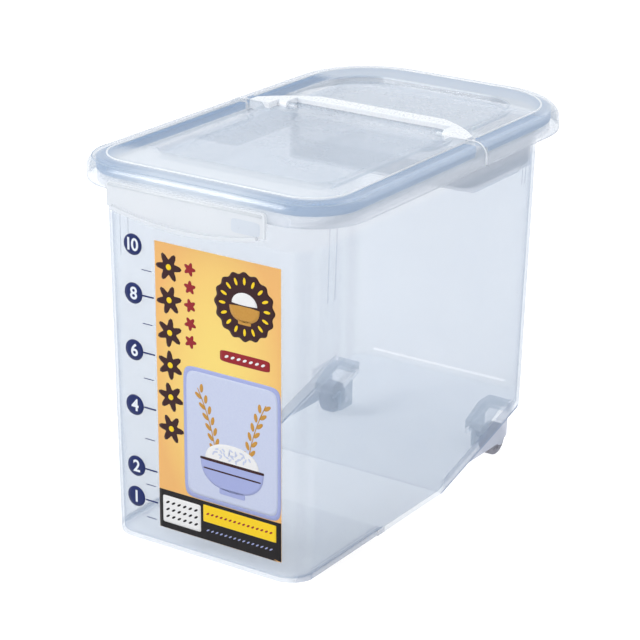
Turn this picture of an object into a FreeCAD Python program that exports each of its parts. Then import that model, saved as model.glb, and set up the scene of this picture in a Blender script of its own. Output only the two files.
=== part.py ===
# Rice storage bin: a clear tub on two rear wheels, with a flap and a rear lid joined by a hinge bar,
# a front clasp, a seal under each lid, a tray that slides on the rim shelf, and a label on the front.
# X runs across the bin, Y from the front (negative) to the rear, Z up from the floor.
import FreeCAD, Part
import math
import os

V = FreeCAD.Vector

# Driving dimensions, in millimetres
overrun = 5.0                    # how far every cutting shape runs past what it cuts

# Tub
tub_length = 335.5
tub_half_width = 88.5            # at the shelf
tub_side_draft = 4.5             # how much each side wall leans in down to the floor
tub_front_draft = 4.5
tub_rear_draft = 0.8
tub_corner_radius = 21.0
tub_wall = 2.2
floor_thickness = 2.4
shelf_height = 267.5             # top of the shelf that runs round inside the rim
shelf_thickness = 2.0
slope_length = 135.0             # the raised rear part of the underside
slope_rise = 38.3
rim_height = 9.7                 # above the shelf
rim_thickness = 2.2

# Lids
lid_side_overhang = 24.6
lid_front_overhang = 8.0
lid_rear_overhang = 25.0
lid_height = 17.0                # from the skirt's lower edge to the crest
lid_skirt_drop = 0.2             # how far the skirt hangs below the shelf's top
lid_wall = 2.0
lid_front_radius = 45.0
lid_rear_radius = 69.0
lid_shoulder_radius = 10.0
lid_skirt_gap = 5.4              # from the skirt's inner face to the rim's outer face
panel_depth = 4.0                # how far the window panels lie below the crest
panel_step_run = 3.0             # how far the step down to a panel leans
front_panel_side_border = 41.1    # from the lid's side to the panel
front_panel_border = 52.5        # from the lid's front face to the panel
front_panel_radius = 15.0
hinge_pocket_side_border = 30.1   # the panel is wider beside the hinge
hinge_pocket_length = 26.0
hinge_pocket_radius = 7.0
rear_panel_side_border = 38.1
rear_panel_border = 46.0
rear_panel_radius = 28.0

# Hinge
flap_length = 220.0              # from the lid's front face to the hinge axis
hinge_seam_reach = 16.0          # from the axis forward to the seam across the skirt
hinge_axis_drop = 4.5            # below the crest
hinge_edge_radius = 10.8         # from the axis to the flap's rear edge
hinge_lug_radius = 3.6
hinge_pin_radius = 1.8
hinge_gap = 0.6
hinge_seam_gap = 1.0
hinge_arm_inset = 40.1           # from the lid's side to an arm's middle
hinge_arm_width = 8.0
hinge_arm_side_gap = 0.5
hinge_lug_width = 6.0
hinge_bar_width = 13.6
hinge_bar_end_width = 10.0
hinge_bar_end_inset = 18.0       # from the lid's side to the bar's end
hinge_bar_end_length = 43.1      # over which the bar's rear edge curves forward to its end
hinge_bar_bulge = 3.2            # how far that curve stands out behind a straight line
hinge_bar_edge = 1.0
running_clearance = 0.05

# Seals
seal_width = 10.5
seal_inset = 6.6                 # from the lid's outer face to the seal
seal_hinge_gap = 3.0

# Clasp
clasp_half_width = 66.0
clasp_thickness = 2.2
clasp_above_axis = 4.2
clasp_below_axis = 13.5          # at its two ends
clasp_sag = 8.4                  # how much deeper its middle hangs
clasp_corner_radius = 3.0
clasp_axis_drop = 12.0           # below the crest
clasp_axis_reach = 2.8           # in front of the skirt
clasp_plate_reach = 2.8          # from the axis to the plate
clasp_lip_reach = 3.0
clasp_lip_half_width = 61.0
clasp_lip_thickness = 2.6
clasp_pin_radius = 1.0
clasp_ear_radius = 2.4
clasp_ear_width = 4.0
clasp_ear_place = 54.0           # from the middle plane to an ear's inner side
clasp_ear_gap = 0.4
clasp_hook_half_width = 40.0
clasp_hook_height = 3.0
clasp_hook_lift = 3.2            # above the lowest point of the clasp
clasp_hook_gap = 0.35
catch_half_width = 46.0
catch_height = 3.4
catch_gap = 1.2                  # between the hook and the catch above it
catch_reach = 7.8

# Grips, ribs and base band of the tub
grip_drop = 19.0
grip_front_y = -27.0
grip_flat_front_y = 22.0
grip_flat_rear_y = 91.0
grip_rear_y = 106.0
grip_rear_rise = 7.0
rib_height = 0.9
rib_width = 1.6
rib_front_spacing = 9.0
rib_front_place = 27.0           # behind the tub's front face at the shelf
rib_front_length = 60.0
rib_rear_place = 38.0            # in front of the tub's rear face
rib_rear_spacing = 5.0
rib_rear_length = 42.0
band_height = 8.6
band_depth = 0.8
band_length = 108.0

# Wheels
wheel_radius = 13.0
wheel_width = 10.0
wheel_inset = 12.5               # from the tub's side at the shelf to the wheel's middle
wheel_from_rear = 44.0
wheel_edge = 1.5
wheel_dish_depth = 1.8
wheel_dish_radius = 9.0
wheel_hub_radius = 4.5
wheel_side_gap = 0.6
axle_radius = 2.2
axle_seat = 1.4                  # how deep the axle's outer end sits in the fender
cheek_reach = 14.0               # from the wheel's middle to the cheek's inner side
cheek_half_length = 9.0
cheek_bottom = 6.0
well_reach = 16.6                # from the wheel's axis to the well's front and rear faces
well_front_height = 29.0
well_top_height = 38.5
well_knee_place = 2.0            # where the well's roof turns flat, behind the wheel's axis
fender_front_from_rear = 95.0
fender_heel_from_rear = 41.0
fender_end_from_rear = 34.5
fender_edge_height = 11.2         # the wheel shows below the edge
fender_end_height = 14.6

# Tray
tray_length = 102.0
tray_rear_gap = 4.0
tray_side_gap = 5.0
tray_depth = 33.5                # below the shelf
tray_wall = 1.8
tray_radius = 12.0
tray_flange_width = 8.5
tray_flange_thickness = 2.0
tray_flange_end_gap = 11.0
tray_front_low = 18.5            # how far the front wall's middle lies below the flange
tray_front_post = 13.0
tray_front_radius = 6.0

# Label
label_width = 106.0
label_bottom = 15.5
label_top_drop = 33.0            # below the shelf
label_inset = 20.0               # from the tub's side at the shelf to the label's right edge
label_thickness = 0.15

# Places worked out from the dimensions
clasp_reach = clasp_axis_reach + clasp_plate_reach + clasp_thickness + clasp_lip_reach
total_length = clasp_reach + lid_front_overhang + tub_length + lid_rear_overhang
lid_front_y = clasp_reach - total_length / 2
lid_rear_y = total_length / 2
tub_front_y = lid_front_y + lid_front_overhang
tub_rear_y = lid_rear_y - lid_rear_overhang
lid_half_width = tub_half_width + lid_side_overhang

skirt_bottom_z = shelf_height - lid_skirt_drop
crest_z = skirt_bottom_z + lid_height
ceiling_z = crest_z - lid_wall
panel_top_z = crest_z - panel_depth
rim_top_z = shelf_height + rim_height
rim_inset = lid_wall + lid_skirt_gap

hinge_y = lid_front_y + flap_length
hinge_z = crest_z - hinge_axis_drop
seam_y = hinge_y - hinge_seam_reach
bar_front_y = hinge_y + hinge_edge_radius + hinge_gap
bar_rear_y = bar_front_y + hinge_bar_width
bar_end_front_y = seam_y + hinge_seam_gap
bar_end_rear_y = bar_end_front_y + hinge_bar_end_width
arm_inner_x = lid_half_width - hinge_arm_inset - hinge_arm_width / 2
arm_outer_x = lid_half_width - hinge_arm_inset + hinge_arm_width / 2
bar_end_x = lid_half_width - hinge_bar_end_inset
bar_corner_x = bar_end_x - hinge_bar_end_length
front_panel_half_width = lid_half_width - front_panel_side_border
hinge_pocket_half_width = lid_half_width - hinge_pocket_side_border
rear_panel_half_width = lid_half_width - rear_panel_side_border
slot_inner_x = arm_inner_x - hinge_arm_side_gap
slot_outer_x = arm_outer_x - hinge_arm_side_gap
lug_inner_x = slot_inner_x - hinge_lug_width

clasp_axis_y = lid_front_y - clasp_axis_reach
clasp_axis_z = crest_z - clasp_axis_drop
clasp_inner_y = clasp_axis_y - clasp_plate_reach
clasp_top_z = clasp_axis_z + clasp_above_axis
clasp_end_z = clasp_axis_z - clasp_below_axis
clasp_low_z = clasp_end_z - clasp_sag
hook_bottom_z = clasp_low_z + clasp_hook_lift
hook_top_z = hook_bottom_z + clasp_hook_height
catch_bottom_z = hook_top_z + catch_gap
catch_y = tub_front_y - catch_reach
ear_outer_x = clasp_ear_place + clasp_ear_width
clasp_lug_inner_x = ear_outer_x + clasp_ear_gap
clasp_lug_outer_x = clasp_lug_inner_x + clasp_ear_width

slope_start_y = tub_rear_y - slope_length
wheel_y = tub_rear_y - wheel_from_rear
wheel_place = tub_half_width - wheel_inset
cheek_place = wheel_place - cheek_reach
wheel_inner_x = wheel_place - wheel_width / 2
wheel_outer_x = wheel_place + wheel_width / 2
tray_rear_y = tub_rear_y - tub_wall - tray_rear_gap
tray_front_y = tray_rear_y - tray_length
tray_half_width = tub_half_width - tray_side_gap
far = total_length


def block(x0, x1, y0, y1, z0, z1):
    """A box between two corners."""
    return Part.makeBox(x1 - x0, y1 - y0, z1 - z0, V(x0, y0, z0))


def rounded_wire(half_width, front_y, rear_y, front_radius, rear_radius, z):
    """A rectangle about the middle plane with rounded front and rear corners."""
    diagonal = math.sqrt(0.5)
    corners = ((half_width, rear_y, rear_radius, 1, 1), (-half_width, rear_y, rear_radius, -1, 1),
               (-half_width, front_y, front_radius, -1, -1), (half_width, front_y, front_radius, 1, -1))
    starts, arcs = [], []
    for x, y, radius, across, along in corners:
        centre = V(x - across * radius, y - along * radius, z)
        on_side = V(x, centre.y, z)
        on_end = V(centre.x, y, z)
        middle = centre + V(across * radius * diagonal, along * radius * diagonal, 0)
        first, last = (on_side, on_end) if across * along > 0 else (on_end, on_side)
        arcs.append(Part.Arc(first, middle, last).toShape())
        starts.append((first, last))
    edges = []
    for index, arc in enumerate(arcs):
        edges.append(arc)
        edges.append(Part.makeLine(starts[index][1], starts[(index + 1) % len(arcs)][0]))
    return Part.Wire(edges)


def slab(wire, height):
    """A plate of the given height on a flat wire."""
    return Part.Face(wire).extrude(V(0, 0, height))


def side_plate(points, x0, x1):
    """A plate between two X places, with its outline given as (y, z) points."""
    wire = Part.makePolygon([V(x0, y, z) for y, z in points + points[:1]])
    return Part.Face(wire).extrude(V(x1 - x0, 0, 0))


def cross_rod(radius, y, z, x0, x1):
    """A round rod along X."""
    return Part.makeCylinder(radius, x1 - x0, V(x0, y, z), V(1, 0, 0))


def mirrored(shape):
    """The same shape on the other side of the middle plane."""
    return shape.mirror(V(0, 0, 0), V(1, 0, 0))


def both_sides(shape):
    return [shape, mirrored(shape)]


# Tub

def tub_wire(z, inset):
    """The tub's outline at a height, drawn in by an inset."""
    down = 1 - z / shelf_height
    return rounded_wire(tub_half_width - tub_side_draft * down - inset,
                        tub_front_y + tub_front_draft * down + inset,
                        tub_rear_y - tub_rear_draft * down - inset,
                        tub_corner_radius - inset, tub_corner_radius - inset, z)


def tub_block(inset, bottom_z, top_z):
    """The solid inside the tapered outline between two heights."""
    return Part.makeLoft([tub_wire(bottom_z, inset), tub_wire(top_z, inset)], True, True)


def slope_z(y):
    """Height of the tub's underside at a place on its sloped rear part."""
    return (y - slope_start_y) * slope_rise / slope_length


def below_slope(lift):
    """Everything under the sloped underside, raised square to it by a lift."""
    lean = math.atan2(slope_rise, slope_length)
    start_y = slope_start_y - lift * (1 / math.cos(lean) - 1) / math.tan(lean)
    end_y = tub_rear_y + overrun
    end_z = lift + (end_y - start_y) * math.tan(lean)
    points = [(start_y, -overrun), (start_y, lift), (end_y, end_z), (end_y, -overrun)]
    return side_plate(points, -far, far)


def rim_wire(inset, z):
    """The rim's outline, which lies inside the lids' skirt."""
    inward = rim_inset + inset
    return rounded_wire(lid_half_width - inward, lid_front_y + inward, lid_rear_y - inward,
                        lid_front_radius - inward, lid_rear_radius - inward, z)


def tub_rim():
    """Shelf ring and upright rim, open in the middle."""
    bottom_z = shelf_height - shelf_thickness
    ring = slab(rim_wire(0, bottom_z), rim_top_z - bottom_z)
    ring = ring.cut(slab(rim_wire(rim_thickness, shelf_height), rim_height + overrun))
    return ring.cut(tub_block(tub_wall, bottom_z - overrun, rim_top_z + overrun))


def tub_grip():
    """A finger grip that hangs from the shelf's edge on one side."""
    top_z = shelf_height - shelf_thickness / 2
    low_z = shelf_height - shelf_thickness - grip_drop
    points = [(grip_front_y, top_z), (grip_front_y, shelf_height - shelf_thickness - rim_thickness),
              (grip_flat_front_y, low_z), (grip_flat_rear_y, low_z),
              (grip_rear_y, low_z + grip_rear_rise), (grip_rear_y, top_z)]
    outer_x = lid_half_width - rim_inset
    return side_plate(points, outer_x - rim_thickness, outer_x)


def tub_ribs():
    """Thin upright ribs on one side wall: a pair behind the front corner and a pair at the rear."""
    top_z = shelf_height - shelf_thickness / 2
    skin = tub_block(-rib_height, 0, shelf_height)
    front_y = tub_front_y + rib_front_place
    rear_y = tub_rear_y - rib_rear_place
    places = ((front_y, rib_front_length), (front_y + rib_front_spacing, rib_front_length),
              (rear_y, rib_rear_length), (rear_y + rib_rear_spacing, rib_rear_length))
    inner_x = tub_half_width - tub_side_draft - tub_wall
    return [skin.common(block(inner_x, far, y, y + rib_width, top_z - length, top_z)).cut(
        tub_block(tub_wall / 2, -overrun, shelf_height + overrun)) for y, length in places]


def wheel_well(wall, x0, x1):
    """The housing over a wheel, with its walls added outside the well."""
    points = [(wheel_y - well_reach - wall, -overrun), (wheel_y - well_reach - wall, well_front_height + wall),
              (wheel_y + well_knee_place, well_top_height + wall),
              (wheel_y + well_reach + wall, well_top_height + wall), (wheel_y + well_reach + wall, -overrun)]
    return side_plate(points, x0, x1)


def fender(whole):
    """The side wall's low part, which covers the wheel's upper half from outside."""
    def at(from_rear):
        return tub_rear_y - from_rear
    high_z = slope_z(at(fender_end_from_rear)) + floor_thickness
    points = [(at(fender_front_from_rear), slope_z(at(fender_front_from_rear)) + floor_thickness),
              (at(fender_front_from_rear), slope_z(at(fender_front_from_rear))),
              (at(fender_heel_from_rear), fender_edge_height),
              (at(fender_end_from_rear), fender_end_height), (at(fender_end_from_rear), high_z)]
    wall = whole.cut(tub_block(tub_wall, -overrun, shelf_height + overrun))
    return wall.common(side_plate(points, wheel_outer_x, far))


def wheel_mount(whole):
    """Housing, inner cheek, fender and axle bosses of one wheel."""
    housing = wheel_well(tub_wall, cheek_place, far).common(whole).cut(below_slope(0))
    cheek = block(cheek_place, cheek_place + tub_wall, wheel_y - cheek_half_length,
                  wheel_y + cheek_half_length, cheek_bottom, well_front_height)
    inner_boss = cross_rod(axle_radius + tub_wall, wheel_y, wheel_radius,
                           cheek_place, wheel_inner_x - wheel_side_gap)
    outer_boss = cross_rod(axle_radius + tub_wall, wheel_y, wheel_radius,
                           wheel_outer_x + wheel_side_gap, far).common(whole)
    return housing, [cheek, inner_boss, fender(whole), outer_boss]


def make_tub():
    whole = tub_block(0, 0, shelf_height)
    hollow = tub_block(tub_wall, floor_thickness, shelf_height + overrun).cut(below_slope(floor_thickness))
    shell = whole.cut(below_slope(0)).cut(hollow)
    band = whole.cut(tub_block(band_depth, -overrun, shelf_height))
    band = band.common(block(-far, far, tub_front_y + tub_corner_radius, tub_front_y + band_length,
                             -overrun, band_height))
    shell = shell.cut(band)
    housing, mounts = wheel_mount(whole)
    shell = shell.fuse(both_sides(housing))
    cavity = wheel_well(0, cheek_place + tub_wall, far)
    cavity = cavity.common(tub_block(tub_wall, -overrun, shelf_height))
    shell = shell.cut(both_sides(cavity))
    added = [tub_rim()] + both_sides(tub_grip())
    for piece in mounts + tub_ribs():
        added += both_sides(piece)
    added.append(block(-catch_half_width, catch_half_width, catch_y, tub_front_y + tub_front_draft,
                       catch_bottom_z, catch_bottom_z + catch_height).cut(
                           tub_block(tub_wall / 2, 0, shelf_height)))
    shell = shell.fuse(added)
    shell = shell.cut(both_sides(axle_rod()))
    return shell.removeSplitter()


# Wheels and axles

def axle_rod():
    """The axle of one wheel, from the inner cheek into the fender."""
    down = 1 - wheel_radius / shelf_height
    wall_x = tub_half_width - tub_side_draft * down - tub_wall
    return cross_rod(axle_radius, wheel_y, wheel_radius, cheek_place, wall_x + axle_seat)


def make_wheel():
    """A solid roller with a shallow dish in each face and a bore for the axle."""
    tyre = cross_rod(wheel_radius, wheel_y, wheel_radius, wheel_inner_x, wheel_outer_x)
    rims = [edge for edge in tyre.Edges if edge.Curve.TypeId == "Part::GeomCircle"]
    tyre = tyre.makeFillet(wheel_edge, rims)
    for x0, x1 in ((wheel_inner_x - overrun, wheel_inner_x + wheel_dish_depth),
                   (wheel_outer_x - wheel_dish_depth, wheel_outer_x + overrun)):
        dish = cross_rod(wheel_dish_radius, wheel_y, wheel_radius, x0, x1)
        tyre = tyre.cut(dish.cut(cross_rod(wheel_hub_radius, wheel_y, wheel_radius, x0, x1)))
    bore = cross_rod(axle_radius + running_clearance, wheel_y, wheel_radius, -far, far)
    return tyre.cut(bore)


# Lids

def lid_wire(inset, z):
    return rounded_wire(lid_half_width - inset, lid_front_y + inset, lid_rear_y - inset,
                        lid_front_radius - inset, lid_rear_radius - inset, z)


def lid_block(inset, bottom_z):
    """The lids' outer form, or its inside when drawn in, with the rounded shoulder."""
    solid = slab(lid_wire(inset, bottom_z), crest_z - inset - bottom_z)
    top_edges = [edge for edge in solid.Edges
                 if all(abs(vertex.Z - (crest_z - inset)) < lid_wall / 2 for vertex in edge.Vertexes)]
    return solid.makeFillet(lid_shoulder_radius - inset, top_edges)


def panel_recess(half_width, front_y, rear_y, front_radius, rear_radius, spread, drop):
    """The hollow over a window panel, with leaning sides, spread and dropped by the wall for its skin."""
    low = rounded_wire(half_width + spread, front_y - spread, rear_y + spread,
                       front_radius + spread, rear_radius + spread, panel_top_z - drop)
    wide = spread + panel_step_run
    high = rounded_wire(half_width + wide, front_y - wide, rear_y + wide,
                        front_radius + wide, rear_radius + wide, crest_z - drop)
    return Part.makeLoft([low, high], True, True).fuse(slab(high, overrun))


def panel_recesses(spread, drop):
    front_y = lid_front_y + front_panel_border
    middle_y = (bar_front_y + bar_rear_y) / 2
    recesses = [panel_recess(front_panel_half_width, front_y, middle_y,
                             front_panel_radius, hinge_pocket_radius, spread, drop),
                panel_recess(hinge_pocket_half_width - panel_step_run, seam_y - hinge_pocket_length, middle_y,
                             hinge_pocket_radius, hinge_pocket_radius, spread, drop),
                panel_recess(rear_panel_half_width, middle_y, lid_rear_y - rear_panel_border,
                             hinge_pocket_radius, rear_panel_radius, spread, drop)]
    return recesses


def lid_shell():
    """Both lids in one piece: skirt, rounded shoulder, crest and the sunken window panels."""
    inside = lid_block(lid_wall, skirt_bottom_z - overrun)
    for skin in panel_recesses(lid_wall, lid_wall):
        inside = inside.cut(skin)
    shell = lid_block(0, skirt_bottom_z).cut(inside)
    for recess in panel_recesses(0, 0):
        shell = shell.cut(recess)
    return shell


def hinge_knuckle(radius, x0, x1):
    return cross_rod(radius, hinge_y, hinge_z, x0, x1)


def make_front_lid(shell):
    """The flap, with its rear edge round about the hinge axis, lugs for the hinge and ears for the clasp."""
    knuckle_y = hinge_y - hinge_axis_drop - hinge_gap
    zone = block(-far, far, -far, seam_y, -overrun, crest_z + overrun)
    zone = zone.fuse([block(-slot_outer_x, slot_outer_x, -far, knuckle_y, -overrun, crest_z + overrun),
                      block(-slot_inner_x, slot_inner_x, -far, hinge_y, -overrun, crest_z + overrun),
                      hinge_knuckle(hinge_edge_radius, -slot_inner_x, slot_inner_x)])
    lug = hinge_knuckle(hinge_lug_radius, lug_inner_x, slot_inner_x)
    lug = lug.fuse(block(lug_inner_x, slot_inner_x, hinge_y - hinge_edge_radius, hinge_y,
                         hinge_z - hinge_lug_radius, panel_top_z))
    ear = cross_rod(clasp_ear_radius, clasp_axis_y, clasp_axis_z, clasp_ear_place, ear_outer_x)
    ear = ear.fuse(block(clasp_ear_place, ear_outer_x, clasp_axis_y, lid_front_y + lid_wall / 2,
                         clasp_axis_z - clasp_ear_radius, clasp_axis_z + clasp_ear_radius))
    flap = shell.common(zone).fuse(both_sides(lug) + both_sides(ear))
    bores = both_sides(hinge_knuckle(hinge_pin_radius + running_clearance, lug_inner_x - overrun, slot_inner_x))
    bores += both_sides(cross_rod(clasp_pin_radius + running_clearance, clasp_axis_y, clasp_axis_z,
                                  clasp_ear_place - overrun, ear_outer_x + overrun))
    return flap.cut(bores).removeSplitter()


def bar_end():
    """One end of the hinge bar in plan: an arm at the pin and a narrower end that curves forward."""
    points = [(bar_corner_x, bar_rear_y), (bar_corner_x, bar_front_y), (arm_inner_x, bar_front_y),
              (arm_inner_x, hinge_y), (arm_outer_x, hinge_y), (arm_outer_x, bar_end_front_y),
              (bar_end_x, bar_end_front_y), (bar_end_x, bar_end_rear_y)]
    run_x = bar_end_x - bar_corner_x
    run_y = bar_end_rear_y - bar_rear_y
    bulge = hinge_bar_bulge / math.hypot(run_x, run_y)
    middle = V((bar_corner_x + bar_end_x) / 2 - run_y * bulge,
               (bar_rear_y + bar_end_rear_y) / 2 + run_x * bulge, rim_top_z)
    edges = Part.makePolygon([V(x, y, rim_top_z) for x, y in points]).Edges
    curve = Part.Arc(edges[-1].Vertexes[-1].Point, middle, edges[0].Vertexes[0].Point)
    return Part.Wire(edges + [curve.toShape()])


def make_hinge_bar():
    """The white bar between the lids, thickened to an arm round each hinge pin."""
    strip = block(-bar_corner_x, bar_corner_x, bar_front_y, bar_rear_y, panel_top_z, crest_z)
    form = lid_block(0, skirt_bottom_z)
    end = slab(bar_end(), far).common(form)
    over_panel = block(0, arm_inner_x, bar_front_y - overrun, far, -overrun, panel_top_z)
    end = end.cut(over_panel)
    arm = hinge_knuckle(hinge_axis_drop, arm_inner_x, arm_outer_x)
    arm = arm.fuse(block(arm_inner_x, arm_outer_x, hinge_y, bar_front_y,
                         hinge_z - hinge_axis_drop, hinge_z + hinge_axis_drop))
    bar = strip.fuse(both_sides(end) + both_sides(arm)).removeSplitter()
    bar = bar.makeFillet(hinge_bar_edge, long_top_edges(bar))
    return bar.cut(both_sides(hinge_pin()))


def long_top_edges(bar):
    """The bar's two straight edges along X at the crest."""
    return [edge for edge in bar.Edges
            if all(abs(vertex.Z - crest_z) < hinge_bar_edge for vertex in edge.Vertexes)
            and abs(edge.Vertexes[0].Y - edge.Vertexes[-1].Y) < hinge_bar_edge
            and edge.Length > bar_corner_x]


def hinge_pin():
    return hinge_knuckle(hinge_pin_radius, lug_inner_x, arm_outer_x)


def make_rear_lid(shell, bar):
    """The lift-off rear lid, cut back to clear the flap and rebated for the hinge bar."""
    zone = block(-far, far, bar_front_y, far, -overrun, crest_z + overrun)
    zone = zone.fuse(both_sides(block(arm_outer_x, far, bar_end_front_y, far, -overrun, crest_z + overrun)))
    return largest(shell.common(zone).cut(bar)).removeSplitter()


# Seals

def seal_ring():
    """The soft seal that lies in the lids over the rim's top edge."""
    ring = slab(lid_wire(seal_inset, rim_top_z), ceiling_z + overrun - rim_top_z)
    return ring.cut(slab(lid_wire(seal_inset + seal_width, rim_top_z - overrun), far))


def make_seals(front_lid, rear_lid, bar):
    inside = seal_ring().common(lid_block(lid_wall / 2, skirt_bottom_z - overrun))
    front = inside.common(block(-far, far, -far, seam_y - seal_hinge_gap, -overrun, far)).cut(front_lid)
    rear = inside.common(block(-far, far, bar_end_rear_y + seal_hinge_gap, far, -overrun, far))
    return largest(front), largest(rear.cut(rear_lid).cut(bar))


def largest(shape):
    """The biggest solid of a shape."""
    return max(shape.Solids, key=lambda solid: solid.Volume)


# Clasp

def clasp_outline(raise_by):
    """The clasp's face with an arched lower edge, raised by some height, as a flat wire in X and Z."""
    half = clasp_half_width
    inner = half - clasp_corner_radius
    turn = clasp_corner_radius * (1 - math.sqrt(0.5))
    end_z = clasp_end_z + raise_by
    low_z = clasp_low_z + raise_by

    def at(x, z):
        return V(x, clasp_inner_y, z)
    edges = [Part.Arc(at(-half, end_z), at(0, low_z), at(half, end_z)).toShape(),
             Part.makeLine(at(half, end_z), at(half, clasp_top_z - clasp_corner_radius)),
             Part.Arc(at(half, clasp_top_z - clasp_corner_radius), at(half - turn, clasp_top_z - turn),
                      at(inner, clasp_top_z)).toShape(),
             Part.makeLine(at(inner, clasp_top_z), at(-inner, clasp_top_z)),
             Part.Arc(at(-inner, clasp_top_z), at(turn - half, clasp_top_z - turn),
                      at(-half, clasp_top_z - clasp_corner_radius)).toShape(),
             Part.makeLine(at(-half, clasp_top_z - clasp_corner_radius), at(-half, end_z))]
    return Part.Face(Part.Wire(edges))


def make_clasp():
    """Plate with a rolled lip along its lower edge, a hook inside and a lug at each end."""
    plate = clasp_outline(0).extrude(V(0, -clasp_thickness, 0))
    lip = clasp_outline(0).cut(clasp_outline(clasp_lip_thickness))
    lip = lip.extrude(V(0, -clasp_thickness - clasp_lip_reach, 0)).common(
        block(-clasp_lip_half_width, clasp_lip_half_width, -far, far, -far, far))
    hook = block(-clasp_hook_half_width, clasp_hook_half_width, clasp_inner_y, catch_y - clasp_hook_gap,
                 hook_bottom_z, hook_top_z)
    lug = cross_rod(clasp_ear_radius, clasp_axis_y, clasp_axis_z, clasp_lug_inner_x, clasp_lug_outer_x)
    lug = lug.fuse(block(clasp_lug_inner_x, clasp_lug_outer_x, clasp_inner_y - clasp_thickness / 2,
                         clasp_axis_y, clasp_axis_z - clasp_ear_radius, clasp_axis_z + clasp_ear_radius))
    clasp = plate.fuse([lip, hook] + both_sides(lug))
    return clasp.cut(both_sides(clasp_pin())).removeSplitter()


def clasp_pin():
    return cross_rod(clasp_pin_radius, clasp_axis_y, clasp_axis_z, clasp_ear_place, clasp_lug_outer_x)


# Tray

def make_tray():
    """A shallow tray with a low front wall, hung by its side flanges on the tub's shelf."""
    bottom_z = shelf_height - tray_depth
    top_z = shelf_height + tray_flange_thickness
    outer = slab(rounded_wire(tray_half_width, tray_front_y, tray_rear_y, tray_radius, tray_radius, bottom_z),
                 top_z - bottom_z)
    inner_radius = tray_radius - tray_wall
    inner = slab(rounded_wire(tray_half_width - tray_wall, tray_front_y + tray_wall, tray_rear_y - tray_wall,
                              inner_radius, inner_radius, bottom_z + tray_wall), far)
    flange = block(-tray_half_width - tray_flange_width, tray_half_width + tray_flange_width,
                   tray_front_y + tray_flange_end_gap, tray_rear_y - tray_flange_end_gap,
                   shelf_height, top_z)
    low_z = top_z - tray_front_low
    opening = block(-tray_half_width + tray_front_post, tray_half_width - tray_front_post,
                    tray_front_y - overrun, tray_front_y + tray_wall + overrun, low_z, top_z + overrun)
    low_edges = [edge for edge in opening.Edges
                 if all(abs(vertex.Z - low_z) < tray_wall for vertex in edge.Vertexes)
                 and abs(edge.Vertexes[0].X - edge.Vertexes[-1].X) < tray_wall]
    opening = opening.makeFillet(tray_front_radius, low_edges)
    return outer.fuse(flange).cut([inner, opening]).removeSplitter()


# Label

def make_label():
    """The paper label, a skin on the tub's front face that follows its lean and its corner."""
    skin = tub_block(-label_thickness, 0, shelf_height).cut(tub_block(0, -overrun, shelf_height + overrun))
    right_x = tub_half_width - label_inset
    window = block(right_x - label_width, right_x, -far, tub_front_y + tub_corner_radius,
                   label_bottom, shelf_height - label_top_drop)
    return largest(skin.common(window))


def write(name, *solids):
    shape = solids[0] if len(solids) == 1 else Part.makeCompound(list(solids))
    if not shape.isValid():
        raise ValueError(name + " is not a valid solid")
    shape.exportStep(os.path.join("parts", name + ".step"))
    box = shape.BoundBox
    print("%-14s solids %d  volume %9.0f  x %.1f %.1f  y %.1f %.1f  z %.1f %.1f" % (
        name, len(shape.Solids), shape.Volume, box.XMin, box.XMax, box.YMin, box.YMax, box.ZMin, box.ZMax))


os.makedirs("parts", exist_ok=True)
shell = lid_shell()
front_lid = make_front_lid(shell)
hinge_bar = make_hinge_bar()
rear_lid = make_rear_lid(shell, hinge_bar)
front_seal, rear_seal = make_seals(front_lid, rear_lid, hinge_bar)
wheel = make_wheel()

write("tub", make_tub())
write("front_lid", front_lid)
write("rear_lid", rear_lid)
write("hinge_bar", hinge_bar)
write("hinge_pins", *both_sides(hinge_pin()))
write("front_seal", front_seal)
write("rear_seal", rear_seal)
write("front_clasp", make_clasp())
write("clasp_pins", *both_sides(clasp_pin()))
write("tray", make_tray())
write("wheel_right", wheel)
write("wheel_left", mirrored(wheel))
write("axle_right", axle_rod())
write("axle_left", mirrored(axle_rod()))
write("front_label", make_label())
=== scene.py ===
# A clear plastic bin for storing rice: a tub on two rear wheels, a hinged flap and a rear lid over blue
# seals, a white hinge bar, a frosted front clasp, a sliding tray, a printed scale and a paper label.
import bmesh
import bpy
import math
import numpy as np
from mathutils import Matrix, Vector


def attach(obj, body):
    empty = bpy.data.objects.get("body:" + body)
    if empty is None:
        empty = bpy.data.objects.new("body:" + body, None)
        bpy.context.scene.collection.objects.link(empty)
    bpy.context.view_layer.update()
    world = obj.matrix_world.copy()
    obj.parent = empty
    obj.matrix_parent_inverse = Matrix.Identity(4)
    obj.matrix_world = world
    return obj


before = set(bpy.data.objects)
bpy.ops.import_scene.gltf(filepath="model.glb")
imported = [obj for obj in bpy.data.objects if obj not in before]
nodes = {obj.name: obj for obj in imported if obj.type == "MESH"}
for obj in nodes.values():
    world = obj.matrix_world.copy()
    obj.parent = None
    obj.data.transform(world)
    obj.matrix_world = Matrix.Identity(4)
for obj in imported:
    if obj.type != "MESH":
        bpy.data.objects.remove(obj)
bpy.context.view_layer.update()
scene = bpy.context.scene
scene.view_settings.view_transform = "Standard"

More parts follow.
